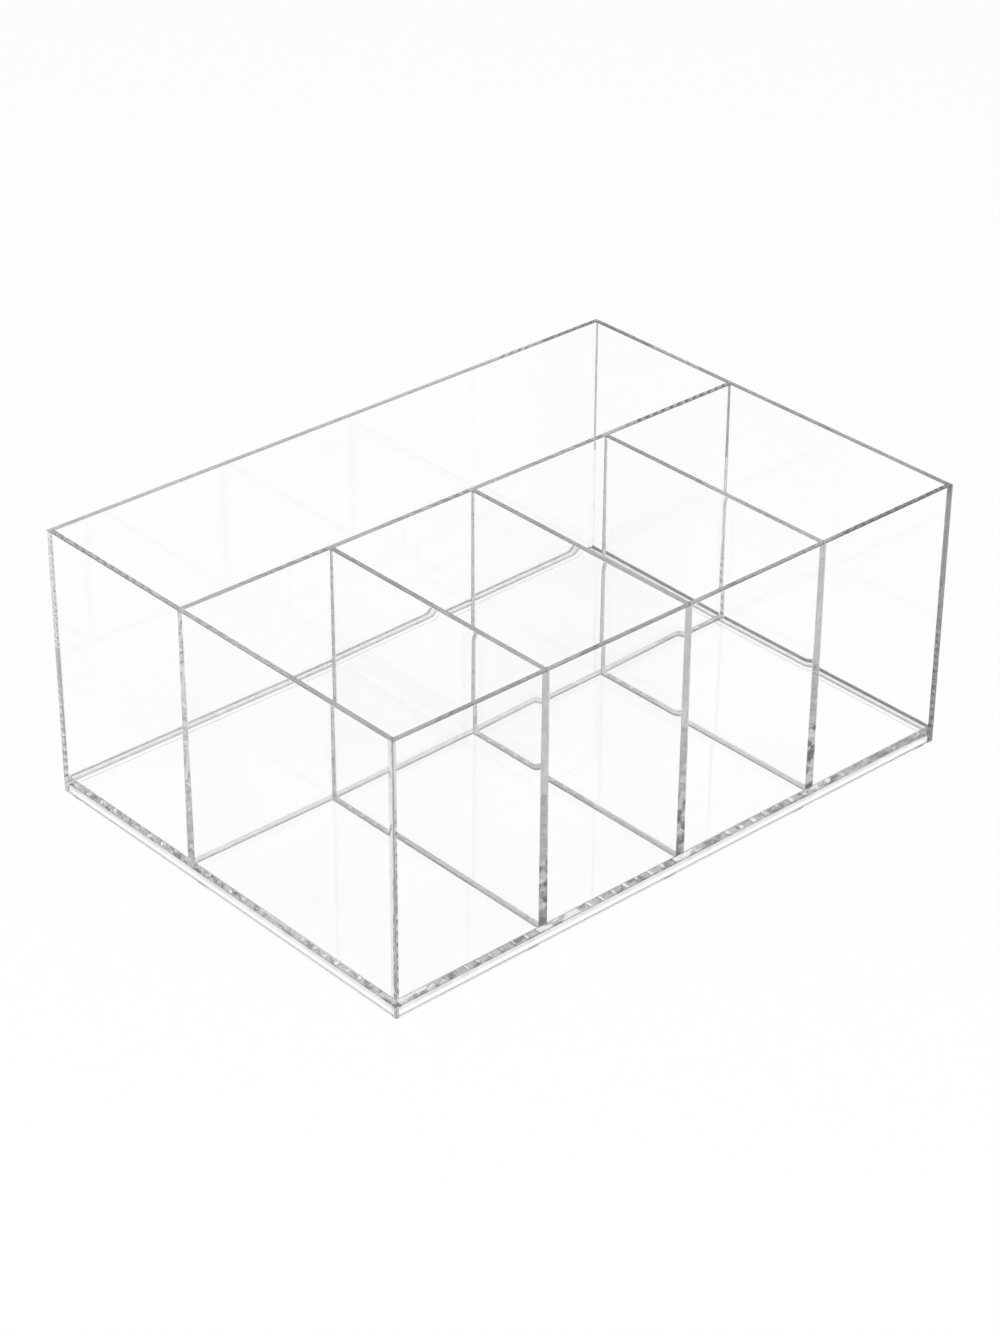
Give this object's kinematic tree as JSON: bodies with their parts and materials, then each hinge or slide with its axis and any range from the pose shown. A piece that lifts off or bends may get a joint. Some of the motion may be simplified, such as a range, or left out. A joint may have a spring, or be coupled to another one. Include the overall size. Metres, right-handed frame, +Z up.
{
  "type": "vanity organizer",
  "caption": "Open-topped clear acrylic vanity organizer with a long rear compartment and a row of four equal front pockets, its dividers thickening towards the foot.",
  "frame": {"origin": "on the surface that it stands on, under the middle of the floor plate", "axes": "+X left to right along the front wall, +Y from the front wall with the small pockets to the rear wall, +Z up"},
  "size_m": [0.24, 0.17, 0.0985],
  "materials": {
    "clear_acrylic": "clear acrylic, polished faces and edges"
  },
  "bodies": {
    "root": {"floor_plate": "clear_acrylic", "front_wall": "clear_acrylic", "rear_wall": "clear_acrylic", "left_wall": "clear_acrylic", "right_wall": "clear_acrylic", "long_divider": "clear_acrylic", "cross_divider_1": "clear_acrylic", "cross_divider_2": "clear_acrylic", "cross_divider_3": "clear_acrylic"}
  },
  "joints": []
}
